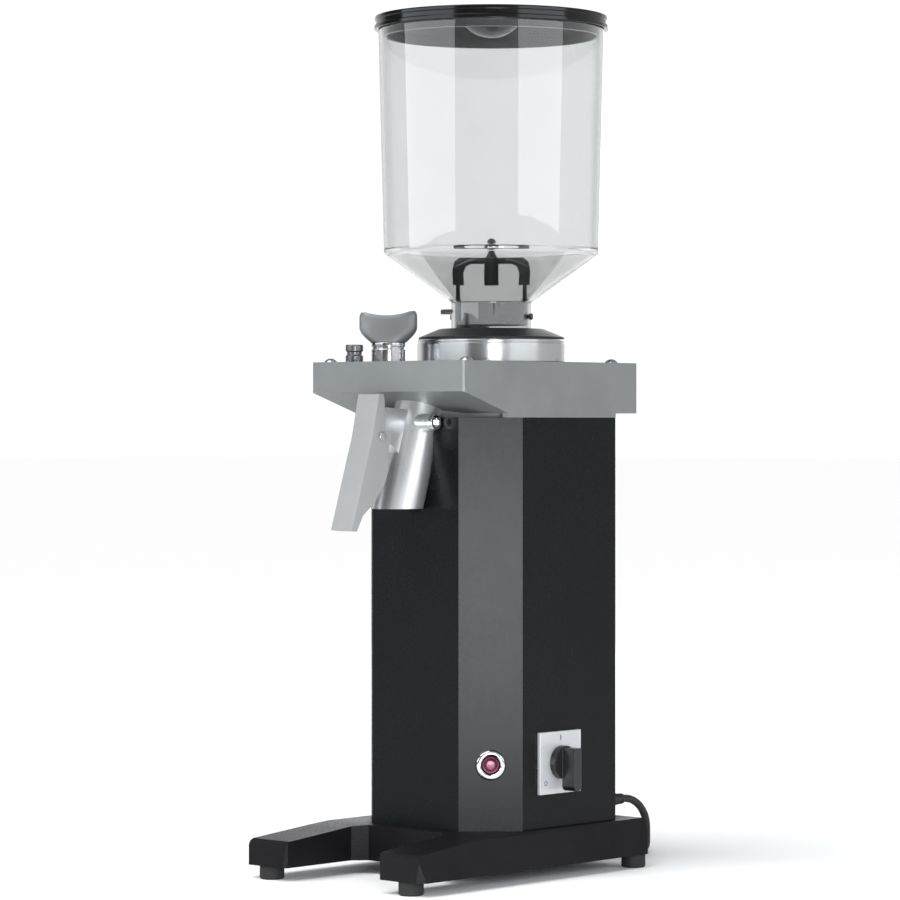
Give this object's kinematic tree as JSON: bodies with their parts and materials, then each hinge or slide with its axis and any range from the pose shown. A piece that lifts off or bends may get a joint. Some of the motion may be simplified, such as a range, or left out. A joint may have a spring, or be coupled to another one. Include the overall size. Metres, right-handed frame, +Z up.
{
  "type": "burr coffee grinder",
  "caption": "Free-standing shop burr grinder: clear hopper over an adjustable burr head, angled spout with a sprung bag clamp, motor column on a base with two front legs.",
  "frame": {"origin": "on the floor under the middle of the machine's outline, on its left-right mid-plane", "axes": "+Z up along the column and the hopper's axis, -Y towards the spout side where the user stands, +X towards the rotary switch"},
  "size_m": [0.2617, 0.4124, 0.7],
  "materials": {
    "cast_base": "satin",
    "cover_black": "satin",
    "column_paint": "satin",
    "foot_rubber": "matte",
    "zinc_screws": "satin",
    "cast_aluminium": "satin",
    "machined_aluminium": "machined",
    "motor_steel": "satin",
    "copper_windings": "enamelled",
    "ground_steel": "ground",
    "burr_steel": "ground",
    "fan_plastic": "matte",
    "polished_steel": "polished",
    "spout_steel": "satin",
    "clamp_steel": "satin",
    "cap_plastic": "satin",
    "clear_plastic": "clear",
    "smoked_plastic": "gloss",
    "gate_metal": "satin",
    "guard_plastic": "satin",
    "knob_metal": "satin",
    "button_red": "gloss",
    "contact_plastic": "matte",
    "plate_metal": "brushed",
    "switch_plastic": "satin",
    "capacitor_can": "satin",
    "gland_plastic": "matte",
    "cord_rubber": "satin"
  },
  "bodies": {
    "frame": {"base": "cast_base", "bottom_cover": "cover_black", "rubber_feet": "foot_rubber", "foot_screws": "zinc_screws", "column_shell": "column_paint", "column_screws": "zinc_screws", "rear_cover": "cover_black", "rear_cover_screws": "zinc_screws", "head_casting": "cast_aluminium", "head_screws": "zinc_screws", "motor_flange": "machined_aluminium", "motor_housing": "motor_steel", "stator_core": "motor_steel", "stator_windings": "copper_windings", "upper_end_bell": "machined_aluminium", "lower_end_bell": "machined_aluminium", "shaft_bearings": "ground_steel", "index_pin": "polished_steel", "spout": "spout_steel", "spout_screw": "polished_steel", "clamp_pin": "ground_steel", "clamp_spring": "ground_steel", "button_bezel": "polished_steel", "button_spring": "ground_steel", "contact_block": "contact_plastic", "switch_plate": "plate_metal", "switch_body": "contact_plastic", "run_capacitor": "capacitor_can", "cable_gland": "gland_plastic", "strain_relief": "gland_plastic", "cord": "cord_rubber", "cord_coil": "cord_rubber", "cord_tail": "cord_rubber", "plug": "cord_rubber"},
    "rotor": {"rotor_shaft": "ground_steel", "rotor_core": "motor_steel", "cooling_fan": "fan_plastic", "lower_burr_carrier": "machined_aluminium", "lower_burr": "burr_steel", "lower_burr_screws": "zinc_screws", "carrier_nut": "zinc_screws"},
    "upper_grinding_set": {"upper_burr_carrier": "machined_aluminium", "upper_burr": "burr_steel", "upper_burr_screws": "zinc_screws"},
    "collar_and_hopper": {"adjusting_collar": "polished_steel", "collar_cap": "cap_plastic", "hopper": "clear_plastic", "gate_housing": "gate_metal", "finger_guard": "guard_plastic", "guard_knob": "guard_plastic", "neck_screws": "zinc_screws"},
    "lid": {"hopper_lid": "smoked_plastic", "lid_grip": "smoked_plastic"},
    "gate": {"gate_slide": "guard_plastic"},
    "lock": {"lock_knob": "knob_metal", "lock_stem": "polished_steel"},
    "clamp": {"bag_clamp": "clamp_steel"},
    "start": {"start_button": "button_red"},
    "switch": {"switch_knob": "switch_plastic"}
  },
  "joints": [
    {"name": "rotor_spin", "type": "hinge", "parent": "frame", "child": "rotor", "pos_m": [0, 0.035, 0.3], "axis": [0, 0, 1], "continuous": true},
    {"name": "collar_turn", "type": "hinge", "parent": "frame", "child": "collar_and_hopper", "pos_m": [0, 0.035, 0.42], "axis": [0, 0, 1], "range_deg": [-150, 150]},
    {"name": "burr_lift", "type": "slide", "parent": "frame", "child": "upper_grinding_set", "axis": [0, 0, 1], "range_m": [-0.00063, 0.00063]},
    {"name": "gate_pull", "type": "slide", "parent": "collar_and_hopper", "child": "gate", "axis": [-1, 0, 0], "range_m": [0, 0.045]},
    {"name": "lid_lift", "type": "slide", "parent": "collar_and_hopper", "child": "lid", "axis": [0, 0, 1], "range_m": [0, 0.12]},
    {"name": "lock_turn", "type": "hinge", "parent": "frame", "child": "lock", "pos_m": [-0.04, -0.046, 0.42], "axis": [0, 0, 1], "range_deg": [-90, 90]},
    {"name": "clamp_pivot", "type": "hinge", "parent": "frame", "child": "clamp", "pos_m": [0, -0.107, 0.355], "axis": [1, 0, 0], "range_deg": [-22, 0], "stiffness_Nm_per_rad": 0.08, "springref_deg": 34.38},
    {"name": "button_press", "type": "slide", "parent": "frame", "child": "start", "axis": [-0.7071, 0.7071, 0], "range_m": [0, 0.003], "stiffness_N_per_m": 400, "springref_m": -0.002},
    {"name": "switch_turn", "type": "hinge", "parent": "frame", "child": "switch", "pos_m": [0.09, 0.022, 0.0925], "axis": [1, 0, 0], "range_deg": [0, 90]}
  ],
  "couplings": [
    {"joint": "burr_lift", "follows": "collar_turn", "m_per_rad": 0.00023873}
  ]
}
